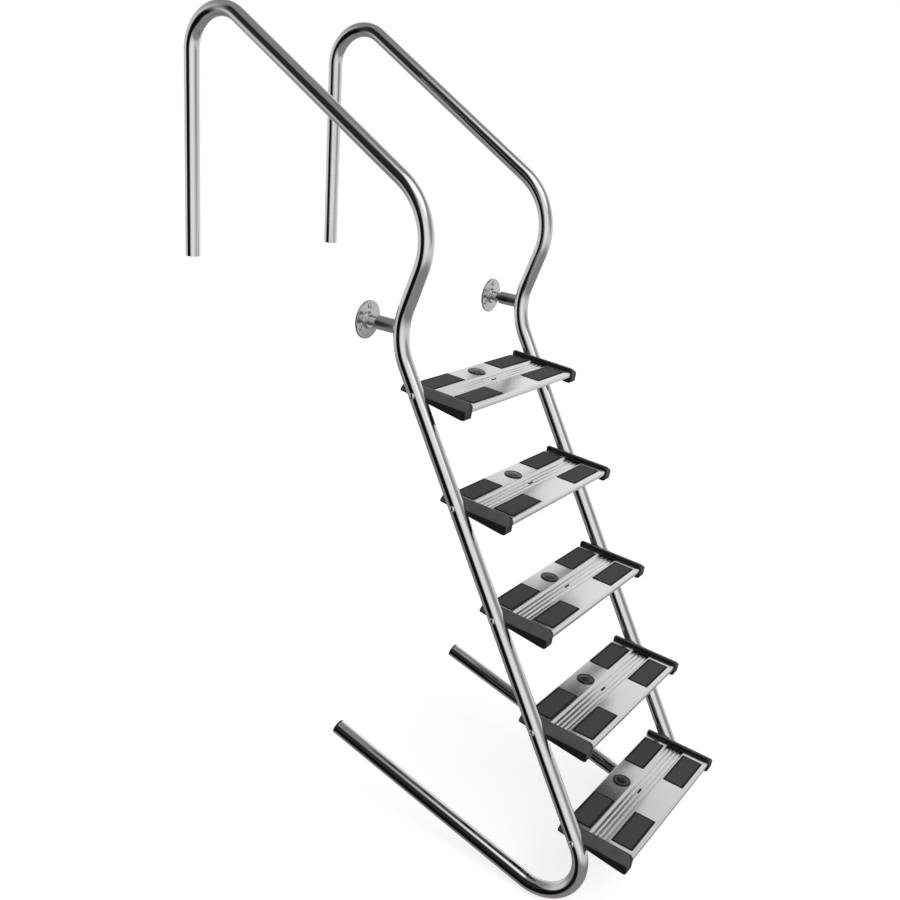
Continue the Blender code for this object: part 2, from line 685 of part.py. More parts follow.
for number, seat in enumerate(treadSeats, start=1):
    frame = bpy.data.objects.new("tread_%d_frame" % number, None)
    frame.location = place(0, seat)
    frame.rotation_euler = (TREAD_TILT, 0, 0)
    parts.objects.link(frame)
    label = "tread_%d_" % number
    plate = addObject(label + "plate", plateMesh, satinSteel, parts)
    plate.parent = frame
    badge = addObject(label + "badge", badgeMesh, darkPlastic, parts)
    badge.parent = frame
    badge.location = (0, BADGE_PLACE, 0)
    for side, sign in SIDES:
        addObject(label + "cap_" + side, capMeshes[side], darkPlastic, parts).parent = frame
        addObject(label + "grip_" + side, gripMeshes[side], gripRubber, parts).parent = frame
        bolt = addObject(label + "bolt_" + side, boltMesh, polishedSteel, parts)
        bolt.location = place(sign * (railHalf + RAIL_RADIUS), boltPoints[number - 1])
        bolt.rotation_euler = (0, sign * pi / 2, 0)
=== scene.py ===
from math import ceil, cos, pi, radians, sin, tan

import bmesh
import bpy
import numpy as np
from mathutils import Matrix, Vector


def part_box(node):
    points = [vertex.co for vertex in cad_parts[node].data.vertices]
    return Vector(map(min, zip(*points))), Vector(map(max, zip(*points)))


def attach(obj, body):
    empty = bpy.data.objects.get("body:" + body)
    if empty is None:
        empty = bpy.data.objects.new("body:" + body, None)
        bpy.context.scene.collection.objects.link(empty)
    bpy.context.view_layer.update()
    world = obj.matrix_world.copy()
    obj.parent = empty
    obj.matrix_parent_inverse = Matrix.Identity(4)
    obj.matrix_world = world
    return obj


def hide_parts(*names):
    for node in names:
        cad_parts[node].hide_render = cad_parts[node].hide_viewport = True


# Pool ladder: two bent tube rails, five deep treads, two wall anchors. Metres, +Z up, -Y to the pool.

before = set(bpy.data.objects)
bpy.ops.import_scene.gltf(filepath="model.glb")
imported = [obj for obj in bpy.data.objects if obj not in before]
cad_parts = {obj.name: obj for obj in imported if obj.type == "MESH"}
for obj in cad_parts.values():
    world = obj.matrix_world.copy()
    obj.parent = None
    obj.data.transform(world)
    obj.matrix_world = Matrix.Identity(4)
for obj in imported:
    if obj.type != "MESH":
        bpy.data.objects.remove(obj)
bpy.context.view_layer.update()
print("frame loaded with", len(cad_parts), "nodes")

sides = (("left", -1), ("right", 1))
gap = 0.0003  # clearance between neighbouring pieces
core = 0.0005  # radius at the axis where a turned shape is closed
sharpest = radians(35)  # edges bent more than this are shaded sharp


# outlines

def roundedLine(corners, radii, step=radians(10), closed=False):
    # straight runs between the corners; an inner corner becomes an arc of its radius about
    # corner + bisector * r / sin(half angle), which starts r / tan(half angle) back from the corner
    corners = np.array(corners, float)
    if closed:
        corners = np.vstack([corners[-1:], corners, corners[:1]])
    runs = [] if closed else [corners[:1]]
    for before, here, after, radius in zip(corners, corners[1:], corners[2:], radii):
        if radius == 0:
            runs.append(here[None])
            continue
        back = (before - here) / np.linalg.norm(before - here)
        ahead = (after - here) / np.linalg.norm(after - here)
        half = np.arccos(back @ ahead) / 2
        centre = here + (back + ahead) / np.linalg.norm(back + ahead) * radius / sin(half)
        arm = here + back * radius / tan(half) - centre
        turn = pi - 2 * half
        way = 1 if arm[1] * back[0] - arm[0] * back[1] > 0 else -1
        angle = way * np.linspace(0, turn, ceil(turn / step) + 1)
        runs.append(centre + np.column_stack([
            arm[0] * np.cos(angle) - arm[1] * np.sin(angle),
            arm[0] * np.sin(angle) + arm[1] * np.cos(angle)]))
    if not closed:
        runs.append(corners[-1:])
    return np.vstack(runs)


def lineNormals(line, closed=False):
    # unit tangent at each point, the mean of its two runs, turned by a quarter
    if closed:
        ahead = np.roll(line, -1, axis=0) - line
        back = line - np.roll(line, 1, axis=0)
    else:
        ahead = np.diff(line, axis=0, append=2 * line[-1:] - line[-2:-1])
        back = np.diff(line, axis=0, prepend=2 * line[:1] - line[1:2])
    ahead = ahead / np.linalg.norm(ahead, axis=1, keepdims=True)
    back = back / np.linalg.norm(back, axis=1, keepdims=True)
    tangent = ahead + back
    tangent = tangent / np.linalg.norm(tangent, axis=1, keepdims=True)
    return tangent, np.column_stack([-tangent[:, 1], tangent[:, 0]])


def lengthAlong(line):
    return np.concatenate([[0], np.cumsum(np.linalg.norm(np.diff(line, axis=0), axis=1))])


def refined(line, longest):
    # the same line with no run longer than the given length
    along = lengthAlong(line)
    extra = [np.linspace(a, b, ceil((b - a) / longest), endpoint=False) for a, b in zip(along, along[1:])]
    stations = np.append(np.concatenate(extra), along[-1])
    return np.column_stack([np.interp(stations, along, line[:, 0]), np.interp(stations, along, line[:, 1])])


# meshes from arrays

def gridQuads(rows, columns, closeRows=False, closeColumns=False):
    # the four corner numbers of every cell of a rows x columns grid of points
    row, column = np.meshgrid(
        np.arange(rows if closeRows else rows - 1),
        np.arange(columns if closeColumns else columns - 1), indexing="ij")
    nextRow = (row + 1) % rows
    nextColumn = (column + 1) % columns
    corners = [row * columns + column, row * columns + nextColumn,
               nextRow * columns + nextColumn, nextRow * columns + column]
    return np.stack(corners, axis=-1).reshape(-1, 4)


def turned(profile, facets, hexShare=None):
    # a (radius, height) profile swept about Z; hexShare pulls a ring's circle in to a hexagon:
    # radius * (1 - share + share * cos 30 / cos(angle within a sixth - 30))
    profile = np.array(profile, float)
    angle = np.linspace(0, 2 * pi, facets, endpoint=False)
    share = np.zeros(len(profile)) if hexShare is None else np.array(hexShare, float)
    hexagon = cos(pi / 6) / np.cos(angle % (pi / 3) - pi / 6)
    radius = profile[:, :1] * (1 - share[:, None] + share[:, None] * hexagon)
    height = np.repeat(profile[:, 1:], facets, axis=1)
    points = np.stack([radius * np.cos(angle), radius * np.sin(angle), height], axis=-1)
    faces = gridQuads(len(profile), facets, closeColumns=True).tolist()
    last = (len(profile) - 1) * facets
    faces.append(list(range(facets)))
    faces.append(list(range(last, last + facets)))
    return points.reshape(-1, 3), faces


def thickened(points, quads, shift):
    # a sheet: the surface, its copy moved by shift, and a wall along every open edge
    count = len(points)
    edges = np.stack([quads, np.roll(quads, -1, axis=1)], axis=-1).reshape(-1, 2)
    forward = edges[:, 0] * count + edges[:, 1]
    backward = edges[:, 1] * count + edges[:, 0]
    rim = edges[~np.isin(forward, backward)]
    walls = np.column_stack([rim[:, 1], rim[:, 0], rim[:, 0] + count, rim[:, 1] + count])
    return np.vstack([points, points + shift]), np.vstack([quads, quads[:, ::-1] + count, walls])


def used(points, quads, shift):
    # the points that some face uses and their shifts, with the faces renumbered
    kept, numbers = np.unique(quads, return_inverse=True)
    return points[kept], numbers.reshape(quads.shape), shift[kept]


def joinedShells(shells):
    # several (points, faces) shells as one pair of lists
    points, faces, start = [], [], 0
    for shellPoints, shellFaces in shells:
        points.append(shellPoints)
        faces += [[corner + start for corner in face] for face in shellFaces]
        start += len(shellPoints)
    return np.vstack(points), faces


def addObject(name, data):
    thing = bpy.data.objects.new(name, data)
    bpy.context.scene.collection.objects.link(thing)
    return thing


def addMesh(name, points, faces):
    # closed shells only: the faces are turned outwards here
    mesh = bpy.data.meshes.new(name)
    faces = faces.tolist() if isinstance(faces, np.ndarray) else faces
    mesh.from_pydata(np.asarray(points).tolist(), [], faces)
    work = bmesh.new()
    work.from_mesh(mesh)
    bmesh.ops.recalc_face_normals(work, faces=work.faces)
    work.to_mesh(mesh)
    work.free()
    mesh.shade_smooth()
    mesh.set_sharp_from_angle(angle=sharpest)
    return addObject(name, mesh)


def carve(thing, additions, cutters):
    # joins the additions to the thing, takes the cutters' shapes out of it and leaves a plain mesh
    tools = [(tool, "UNION") for tool in additions] + [(tool, "DIFFERENCE") for tool in cutters]
    for tool, operation in tools:
        cut = thing.modifiers.new("cut", "BOOLEAN")
        cut.operation = operation
        cut.solver = "EXACT"
        cut.object = tool
    bpy.context.view_layer.update()
    graph = bpy.context.evaluated_depsgraph_get()
    mesh = bpy.data.meshes.new_from_object(thing.evaluated_get(graph))
    thing.modifiers.clear()
    thing.data = mesh
    for tool, _ in tools:
        bpy.data.objects.remove(tool, do_unlink=True)
    mesh.shade_smooth()
    mesh.set_sharp_from_angle(angle=sharpest)
    return thing


def setFloats(thing, name, values):
    layer = thing.data.attributes.new(name, "FLOAT", "POINT")
    layer.data.foreach_set("value", np.asarray(values, np.float32))


def finishPiece(thing, material, slotName, *nodeNames):
    thing.data.materials.clear()
    thing.data.materials.append(material)
    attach(thing, "root")
    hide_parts(*nodeNames)
    return thing


def moved(points, turn, place):
    return points @ np.array(turn, float).T + np.array(place, float)


# materials

class Nodes:
    # short ways to add nodes to a tree
    def __init__(self, tree):
        self.tree = tree

    def node(self, kind, **settings):
        made = self.tree.nodes.new(kind)
        for key, value in settings.items():
            setattr(made, key, value)
        return made

    def link(self, start, end):
        self.tree.links.new(start, end)

    def math(self, operation, *values):
        # each value is a number or the output of another node
        made = self.node("ShaderNodeMath", operation=operation)
        for number, value in enumerate(values):
            if isinstance(value, (int, float)):
                made.inputs[number].default_value = value
            else:
                self.link(value, made.inputs[number])
        return made.outputs["Value"]

    def byCamera(self, others, straight):
        # one shader for what the camera sees directly, another for every other ray
        rays = self.node("ShaderNodeLightPath")
        mix = self.node("ShaderNodeMixShader")
        self.link(rays.outputs["Is Camera Ray"], mix.inputs["Fac"])
        self.link(others, mix.inputs[1])
        self.link(straight, mix.inputs[2])
        return mix.outputs["Shader"]


class Shading(Nodes):
    # a Principled material
    def __init__(self, name, colour, roughness, metallic, specular=0.5):
        self.material = bpy.data.materials.new(name)
        self.material.use_nodes = True
        super().__init__(self.material.node_tree)
        self.shader = self.tree.nodes["Principled BSDF"]
        self.shader.inputs["Base Color"].default_value = (*colour, 1)
        self.shader.inputs["Roughness"].default_value = roughness
        self.shader.inputs["Metallic"].default_value = metallic
        self.shader.inputs["Specular IOR Level"].default_value = specular

    def place(self, scale, output="Object"):
        # coordinates stretched by a scale along each axis
        source = self.node("ShaderNodeTexCoord")
        mapping = self.node("ShaderNodeMapping")
        mapping.inputs["Scale"].default_value = scale
        self.link(source.outputs[output], mapping.inputs["Vector"])
        return mapping.outputs["Vector"]

    def noise(self, vector, detail=2.0):
        texture = self.node("ShaderNodeTexNoise")
        texture.inputs["Scale"].default_value = 1.0
        texture.inputs["Detail"].default_value = detail
        self.link(vector, texture.inputs["Vector"])
        return texture.outputs["Fac"]

    def spread(self, value, low, high):
        # a noise value, mostly between 0.3 and 0.7, carried over to low and high
        ramp = self.node("ShaderNodeMapRange")
        ramp.inputs["From Min"].default_value = 0.3
        ramp.inputs["From Max"].default_value = 0.7
        ramp.inputs["To Min"].default_value = low
        ramp.inputs["To Max"].default_value = high
        self.link(value, ramp.inputs["Value"])
        return ramp.outputs["Result"]

    def blend(self, factor, first, second):
        mix = self.node("ShaderNodeMix", data_type="RGBA")
        mix.inputs["A"].default_value = (*first, 1)
        mix.inputs["B"].default_value = (*second, 1)
        self.link(factor, mix.inputs["Factor"])
        return mix.outputs["Result"]

    def roughness(self, value):
        self.link(value, self.shader.inputs["Roughness"])

    def colour(self, value):
        self.link(value, self.shader.inputs["Base Color"])

    def bump(self, height, distance, strength=1.0):
        bump = self.node("ShaderNodeBump")
        bump.inputs["Distance"].default_value = distance
        bump.inputs["Strength"].default_value = strength
        self.link(height, bump.inputs["Height"])
        self.link(bump.outputs["Normal"], self.shader.inputs["Normal"])

    def attribute(self, name):
        return self.node("ShaderNodeAttribute", attribute_name=name).outputs["Fac"]


def mirrorTube():
    # polished stainless tube: faint lengthwise buffing lines and slow changes of gloss
    steel = Shading("mirrorTube", (0.66, 0.66, 0.67), 0.08, 1.0)
    lines = steel.noise(steel.place((900, 7, 1), "UV"), detail=3)
    haze = steel.noise(steel.place((14, 14, 14)), detail=3)
    steel.roughness(steel.math("ADD", steel.spread(lines, 0.03, 0.07), steel.spread(haze, 0.01, 0.05)))
    steel.colour(steel.blend(haze, (0.63, 0.63, 0.64), (0.69, 0.69, 0.70)))
    steel.bump(lines, 0.00002, 0.4)
    return steel.material


def polishedFitting():
    # machined and buffed anchor parts, a little hazier than the tube
    steel = Shading("polishedFitting", (0.66, 0.66, 0.67), 0.16, 1.0)
    haze = steel.noise(steel.place((60, 60, 60)), detail=4)
    steel.roughness(steel.spread(haze, 0.10, 0.22))
    steel.colour(steel.blend(haze, (0.50, 0.50, 0.51), (0.60, 0.60, 0.61)))
    steel.bump(steel.noise(steel.place((1500, 1500, 1500))), 0.00002, 0.3)
    return steel.material


def pressedSheet():
    # pressed stainless sheet with its rolling grain along X
    steel = Shading("pressedSheet", (0.76, 0.76, 0.77), 0.22, 1.0)
    grain = steel.noise(steel.place((9, 1400, 1400)), detail=3)
    haze = steel.noise(steel.place((22, 22, 22)), detail=3)
    steel.roughness(steel.math("ADD", steel.spread(grain, 0.19, 0.23), steel.spread(haze, 0.0, 0.03)))
    steel.colour(steel.blend(haze, (0.75, 0.75, 0.76), (0.78, 0.78, 0.79)))
    steel.bump(grain, 0.00001, 0.3)
    return steel.material


def mouldedPlastic():
    # moulded plastic with a fine eroded-tool grain: nearly black, with painted light making the top face
    # grey where the light falls on it
    plastic = Shading("mouldedPlastic", (0.05, 0.05, 0.052), 0.42, 0.0, specular=0.4)
    grain = plastic.noise(plastic.place((1100, 1100, 1100)), detail=2)
    tone = plastic.noise(plastic.place((40, 40, 40)), detail=3)
    plastic.roughness(plastic.spread(tone, 0.36, 0.50))
    # painted light: the top face is painted grey and the sides near black, as the light falls on the cap
    dustAndTopLight = plastic.math("MULTIPLY", plastic.attribute("paintedLight"), plastic.spread(tone, 0.75, 1.0))
    plastic.colour(plastic.blend(dustAndTopLight, (0.012, 0.012, 0.013), (0.125, 0.125, 0.128)))
    plastic.bump(grain, 0.00012, 0.5)
    return plastic.material


def studdedRubber():
    # grip pads: paler on top of the studs, nearly black in the border and between; the near-black border is
    # painted shade, the paler inside the rubber's grey
    rubber = Shading("studdedRubber", (0.035, 0.035, 0.036), 0.7, 0.0, specular=0.35)
    grain = rubber.noise(rubber.place((1600, 1600, 1600)), detail=2)
    # painted shade: near black in the pad's border, grey inside it
    paintedLight = rubber.attribute("paintedLight")
    rubber.colour(rubber.blend(paintedLight, (0.003, 0.003, 0.003), (0.072, 0.072, 0.074)))
    rubber.roughness(rubber.spread(grain, 0.62, 0.80))
    rubber.bump(grain, 0.00010, 0.5)
    return rubber.material


def badgeGloss():
    # plain glossy disc, paler in a ring over its groove
    gloss = Shading("badgeGloss", (0.03, 0.03, 0.031), 0.22, 0.0)
    haze = gloss.noise(gloss.place((180, 180, 180)), detail=3)
    gloss.roughness(gloss.spread(haze, 0.16, 0.32))
    gloss.colour(gloss.blend(gloss.attribute("ring"), (0.010, 0.010, 0.011), (0.24, 0.24, 0.24)))
    return gloss.material


def plainFastener():
    # turned screw heads with a light, even haze
    steel = Shading("plainFastener", (0.60, 0.60, 0.61), 0.24, 1.0)
    haze = steel.noise(steel.place((400, 400, 400)), detail=3)
    steel.roughness(steel.spread(haze, 0.18, 0.32))
    steel.colour(steel.blend(haze, (0.52, 0.52, 0.53), (0.64, 0.64, 0.65)))
    return steel.material


def plugRubber():
    # soft dark plug with a dusty bloom
    rubber = Shading("plugRubber", (0.03, 0.03, 0.031), 0.75, 0.0, specular=0.3)
    dustAndTopLight = rubber.noise(rubber.place((260, 260, 260)), detail=4)
    rubber.colour(rubber.blend(dustAndTopLight, (0.022, 0.022, 0.023), (0.045, 0.045, 0.046)))
    rubber.roughness(rubber.spread(dustAndTopLight, 0.66, 0.84))
    rubber.bump(dustAndTopLight, 0.00015, 0.4)
    return rubber.material


tubeSteel = mirrorTube()
fittingSteel = polishedFitting()
sheetSteel = pressedSheet()
capPlastic = mouldedPlastic()
gripRubber = studdedRubber()
badgePlastic = badgeGloss()
fastenerSteel = plainFastener()
plugMaterial = plugRubber()
print("materials ready")

# side rails

rail = {
    # distance from the wall and height over the bottom corner, from the deck leg to the tail
    "corners": ((0.555, 1.350), (0.595, 2.018), (-0.171, 1.565),
                (-0.084, 1.282), (-0.857, 0.0), (-0.026, 0.2305)),
    "bends": (0.096, 0.165, 0.163, 0.105),
    "radius": 0.019,
    "wall": 0.0016,
    "edge": 0.0005,  # rounding of the cut ends
    "facets": 48,
    "bendStep": radians(2.0),
    "longestRun": 0.08,
}

railLow, railHigh = (np.array(corner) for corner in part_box("rail_left"))
railX = -(railLow[0] + railHigh[0]) / 2
railPath = refined(roundedLine(rail["corners"], rail["bends"], rail["bendStep"]), rail["longestRun"])
railShift = np.array([
    railHigh[1] - rail["radius"] - railPath[:, 0].max(),
    railLow[2] + rail["radius"] - railPath[:, 1].min()])
railPath = railPath + railShift


def railTube(side, sign):
    # the circle of the tube carried along the path: path + r cos(a) * normal + r sin(a) * X,
    # out along the outside, round the cut end and back along the inside
    tangent, normal = lineNormals(railPath)
    count = len(railPath)
    outer = rail["radius"]
    inner = outer - rail["wall"]
    edge = rail["edge"]
    station = np.concatenate([
        [0, 0], np.arange(1, count - 1), [-1] * 4, np.arange(count - 2, 0, -1), [0, 0]]) % count
    radius = np.concatenate([
        [outer - edge, outer], np.full(count - 2, outer), [outer, outer - edge],
        [inner + edge, inner], np.full(count - 2, inner), [inner, inner + edge]])
    slide = np.zeros(len(radius))
    slide[1] = edge
    slide[count] = -edge
    slide[count + 3] = -edge
    slide[-2] = edge
    angle = np.linspace(0, 2 * pi, rail["facets"], endpoint=False)
    centre = railPath[station] + slide[:, None] * tangent[station]
    out = radius[:, None] * np.cos(angle)
    points = np.stack([
        sign * railX + radius[:, None] * np.sin(angle),
        centre[:, :1] + out * normal[station][:, :1],
        centre[:, 1:] + out * normal[station][:, 1:]], axis=-1)
    quads = gridQuads(len(station), rail["facets"], closeRows=True, closeColumns=True)
    tube = addMesh(side + "RailTube", points.reshape(-1, 3), quads)
    # own coordinates: round the tube, and along it, both in metres
    corner = np.zeros(len(tube.data.loops), np.int32)
    tube.data.loops.foreach_get("vertex_index", corner)
    along = lengthAlong(railPath)[station][corner // rail["facets"]]
    around = (corner % rail["facets"]) / rail["facets"]
    wrap = around.reshape(-1, 4)
    wrap[(wrap.max(axis=1) - wrap.min(axis=1) > 0.5)[:, None] & (wrap < 0.5)] += 1
    place = np.column_stack([wrap.reshape(-1) * 2 * pi * outer, along])
    layer = tube.data.uv_layers.new(name="UVMap")
    layer.data.foreach_set("uv", place.astype(np.float32).ravel())
    return finishPiece(tube, tubeSteel, "rail_tube", "rail_" + side)


for side, sign in sides:
    railTube(side, sign)
print("rails done")

# tail plugs

plug = {
    "rim": 0.004, "edge": 0.0014, "facets": 48,
    "spigot": 0.018, "play": 0.0004,  # its length, and how loosely it fits the tube
    "dimple": 0.0008, "dimpleRadii": (0.009, 0.011),  # its depth, and where its wall begins and ends
    "blend": 0.001,
}

tailWay = railPath[-1] - railPath[-2]
tailWay = tailWay / np.linalg.norm(tailWay)
tailTurn = np.array([[1, 0, 0], [0, tailWay[1], tailWay[0]], [0, -tailWay[0], tailWay[1]]])


def tailPlug(side, sign):
    # turned: a spigot inside the tube, a rim as wide as the tube with a rounded edge, a shallow dimple
    inside = rail["radius"] - rail["wall"] - plug["play"]
    outer, rim, blend = rail["radius"], plug["rim"], plug["blend"]
    low, high = plug["dimpleRadii"]
    profile = roundedLine(
        [(2 * core, -plug["spigot"]), (inside, -plug["spigot"]), (inside, gap), (outer, gap),
         (outer, rim), (high, rim), (low, rim - plug["dimple"]), (core, rim - plug["dimple"])],
        (blend, 0, gap, plug["edge"], blend, blend), radians(15))
    points, faces = turned(profile, plug["facets"])
    points = moved(points, tailTurn, (sign * railX, *railPath[-1]))
    piece = addMesh(side + "TailPlug", points, faces)
    return finishPiece(piece, plugMaterial, "plug_rubber", "tail_plug_" + side)


for side, sign in sides:
    tailPlug(side, sign)
print("tail plugs done")

# wall anchors

anchor = {
    "height": 1.3045,  # over the bottom corner
    "bendReach": 0.14,  # part of the rail above and below that the socket may meet
    "flangeRadius": 0.045, "flangeThickness": 0.005, "flangeEdge": 0.0016, "backEdge": 0.0003,
    "hubRadius": 0.019, "hubLength": 0.012, "hubFillet": 0.0030, "hubEdge": 0.0012,
    "boreDepth": 0.002, "boreEdge": 0.0006,  # depth into the flange behind the hub
    "rodRadius": 0.0115, "rodEdge": 0.0008, "rodShort": 0.008,  # the rod stops short of the rail
    "socketRadius": 0.0165, "socketLength": 0.045, "socketEdge": 0.0007,
    "weld": 0.0022,  # leg of the fillet weld where the socket meets the rail
    "screwCircle": 0.0325,
    "facets": 72,
}

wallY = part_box("anchor_flange_left")[1].y
anchorZ = anchor["height"] + railShift[1]
anchorTurn = np.array([[1, 0, 0], [0, 0, -1], [0, 1, 0]])  # Z to the pool, Y up
innerBend = railPath[np.abs(railPath[:, 1] - anchorZ) < anchor["bendReach"]]
innerBend = innerBend[innerBend[:, 0] < wallY]
innerBend = innerBend[np.argsort(innerBend[:, 1])]


def anchorRun(height):
    # distance from the wall to the rail's axis at a height
    return wallY - np.interp(height, innerBend[:, 1], innerBend[:, 0])


def atAnchor(points, sign):
    return moved(points, anchorTurn, (sign * railX, wallY, anchorZ))


def anchorFlange(side, sign):
    # turned: flat back, rounded rim, a fillet up to the hub, the rod's hole in the hub
    bore = anchor["rodRadius"] + gap
    thick, rim, hub = anchor["flangeThickness"], anchor["flangeRadius"], anchor["hubRadius"]
    floor = thick - anchor["boreDepth"]
    profile = roundedLine(
        [(core, 0), (rim, 0), (rim, thick), (hub, thick), (hub, anchor["hubLength"]),
         (bore, anchor["hubLength"]), (bore, floor), (core, floor)],
        (anchor["backEdge"], anchor["flangeEdge"], anchor["hubFillet"], anchor["hubEdge"],
         anchor["boreEdge"], 0), radians(12))
    points, faces = turned(profile, anchor["facets"])
    piece = addMesh(side + "AnchorFlange", atAnchor(points, sign), faces)
    return finishPiece(piece, fittingSteel, "anchor_steel", "anchor_flange_" + side)


def anchorRod(side, sign):
    start = anchor["flangeThickness"] - anchor["boreDepth"] + gap
    end = anchorRun(anchorZ) - rail["radius"] - anchor["rodShort"]
    radius = anchor["rodRadius"]
    profile = roundedLine(
        [(core, start), (radius, start), (radius, end), (core, end)], [anchor["rodEdge"]] * 2, radians(15))
    points, faces = turned(profile, anchor["facets"])
    piece = addMesh(side + "AnchorRod", atAnchor(points, sign), faces)
    return finishPiece(piece, fittingSteel, "anchor_steel", "anchor_rod_" + side)


def anchorSocket(side, sign):
    # a tube whose far end follows the rail: run = axis run at that height - sqrt(R^2 - x^2),
    # flared at that end by a quarter-round fillet for the weld
    angle = np.linspace(0, 2 * pi, anchor["facets"], endpoint=False)
    outer = anchor["socketRadius"]
    bore = anchor["rodRadius"] + gap
    start = anchorRun(anchorZ) - rail["radius"] - anchor["socketLength"]
    sweep = np.linspace(0, pi / 2, 6)
    weld = anchor["weld"]
    edge = anchor["socketEdge"]
    radius = np.concatenate([
        [bore + edge, outer - edge, outer], [outer], outer + weld * (1 - np.cos(sweep[1:])), [bore], [bore]])
    back = np.concatenate([[0, 0, 0], [weld], weld * (1 - np.sin(sweep[1:])), [0], [0]])
    lead = np.concatenate([[0, 0, edge], np.zeros(len(radius) - 4), [edge]])
    atRail = np.concatenate([[0, 0, 0], np.ones(len(radius) - 4), [0]])[:, None]
    x = radius[:, None] * np.cos(angle)
    z = radius[:, None] * np.sin(angle)
    reach = anchorRun(anchorZ + z) - np.sqrt(np.clip(rail["radius"] ** 2 - x ** 2, 0, None)) - gap
    run = (1 - atRail) * (start + lead[:, None]) + atRail * (reach - back[:, None])
    points = np.stack([x, z, run], axis=-1).reshape(-1, 3)
    quads = gridQuads(len(radius), anchor["facets"], closeRows=True, closeColumns=True)
    piece = addMesh(side + "AnchorSocket", atAnchor(points, sign), quads)
    return finishPiece(piece, fittingSteel, "anchor_steel", "anchor_socket_" + side)


# screw and bolt heads: hexagon sizes are radii, base is the dome's foot, length is the shank's
flangeHead = {
    "radius": 0.0062, "height": 0.0035, "base": 0.0006, "hex": 0.0021, "hexDepth": 0.0014,
    "shank": 0.003, "length": 0.0045,
}
boltHead = {
    "radius": 0.0075, "height": 0.0055, "base": 0.0015, "hex": 0.0026, "hexDepth": 0.0022,
    "shank": 0.004, "length": 0.045,
}
headEdge = {"axis": 0.0003, "chamfer": 0.0004, "seat": 0.0001, "foot": 0.0005, "socket": 0.0003}


def domedHead(head):
    # turned: shank, flat seat, an elliptic dome, and a hexagon socket sunk in its middle
    radius, height, base, hexagon = head["radius"], head["height"], head["base"], head["hex"]
    shank, end = head["shank"], -head["length"]
    axis, chamfer, seat, socket = (headEdge[key] for key in ("axis", "chamfer", "seat", "socket"))
    sweep = np.linspace(0, pi / 2, 7)
    dome = np.column_stack([radius * np.cos(sweep), base + (height - base) * np.sin(sweep)])
    dome = dome[dome[:, 0] > hexagon * 1.25]
    top = base + (height - base) * np.sqrt(1 - (hexagon * 1.2 / radius) ** 2)
    bottom = top - head["hexDepth"]
    profile = np.vstack([
        [(axis, end), (shank - chamfer, end), (shank, end + chamfer), (shank, seat),
         (radius - chamfer, seat), (radius, headEdge["foot"])], dome,
        [(hexagon * 1.12, top), (hexagon, top - socket), (hexagon, bottom), (axis, bottom - socket)]])
    share = np.concatenate([np.zeros(6 + len(dome)), [0.9, 1, 1, 0]])
    return turned(profile, 48, share)


def flangeScrew(side, sign, number):
    # the first screw is at the top of the flange, the others a third of a turn apart
    angle = pi / 2 + 2 * pi * (number - 1) / 3
    points, faces = domedHead(flangeHead)
    points = points + np.array([
        anchor["screwCircle"] * cos(angle), anchor["screwCircle"] * sin(angle), anchor["flangeThickness"]])
    piece = addMesh(side + "FlangeScrew%d" % number, atAnchor(points, sign), faces)
    return finishPiece(piece, fastenerSteel, "fastener_steel", "flange_screw_%s_%d" % (side, number))


for side, sign in sides:
    anchorFlange(side, sign)
    anchorRod(side, sign)
    anchorSocket(side, sign)
    for number in (1, 2, 3):
        flangeScrew(side, sign, number)
print("wall anchors done")

# treads, drawn about the point on a tread's surface between the rails' axes

tread = {
    "count": 5,
    "first": 0.1315,  # along the incline from the gooseneck's lower corner
    "pitch": 0.2698,
    "tilt": radians(3.4),  # nose down
    "rear": 0.0415, "front": 0.134,
    "lip": 0.015, "rearFold": 0.0022, "frontFold": 0.0060, "hem": 0.0030,
    "thickness": 0.0015, "half": 0.2430,
    "channel": (0.0200, 0.0670), "channelDepth": 0.005, "channelFold": 0.0022,
    "channelEdge": 0.004,  # the sheet is thickened straight down from this far outside the channel
    "ribs": 3, "ribHeight": 0.0024, "ribStart": 0.0025,
    "lead": 0.002,  # flat run kept beyond a fold
    "slot": (0.024, 0.007), "slotCorner": 0.0032,
    "middleLine": 0.04,  # extra grid line beside the slot
}

pad = {
    "inner": 0.0853, "outer": 0.2226,
    "rear": (-0.0388, 0.0160), "front": (0.0700, 0.1240),
    "rise": 0.0012, "corner": 0.003, "edge": 0.0011, "depth": 0.0105,
    "border": 0.0055,  # plain strip round the studs
    "paintedShadeRim": 0.0042, "paintedShadeEnd": 0.0060,  # painted shade: the border turns from black to grey between these
    "webInset": 0.012, "webTop": -0.0076, "webBottom": -0.0103, "webCorner": 0.002,
    "strip": (0.0235, 0.0635), "stripEnd": 0.0006,  # under the channel, towards the drain slot; dark, it shows through the slot as painted shade
    "stripCorner": 0.001,
    "stud": 0.0018, "studPitch": 0.0062, "studHeight": 0.0005,
    "studRow": 0.866, "studSink": 0.6, "studFade": 0.0012,  # shares of the pitch and height; a length
    "fine": 0.0011, "rimLines": (0, 0.0004, 0.0011), "rimShare": 0.617,
}

cap = {
    "inner": 0.2435, "outer": 0.2720, "rise": 0.010, "drop": 0.011, "nose": 0.030, "noseFoot": 0.014,
    "fall": 0.002, "ridge": 0.2520, "shoulder": -0.006, "ridgeBlend": 0.003,  # the top slopes outwards
    "front": 0.137, "rear": 0.0435, "wall": 0.004, "edge": 0.0022,
    "blends": (0.003, 0.006, 0.012, 0.007, 0.006),  # rear foot, rear top, front top, nose, nose foot
    "pocket": (0.0450, 0.1010), "pocketTop": -0.009, "pocketCorner": 0.003,
    "tongue": 0.009, "tongueDrop": 0.010, "tongueInset": 0.009, "tongueCorner": 0.001,  # under the plate
    "channelTongue": 0.2350, "channelLevels": (-0.0022, 0.0004), "channelCorner": 0.002,
    "tongueEdge": 0.003,
    "through": 0.08, "below": -0.06,  # how far the cutters run past the cap
    "topLightDepth": 0.0019, "topLightFade": 0.0010,  # depth under the top where the painted top light ends, and its fade
}

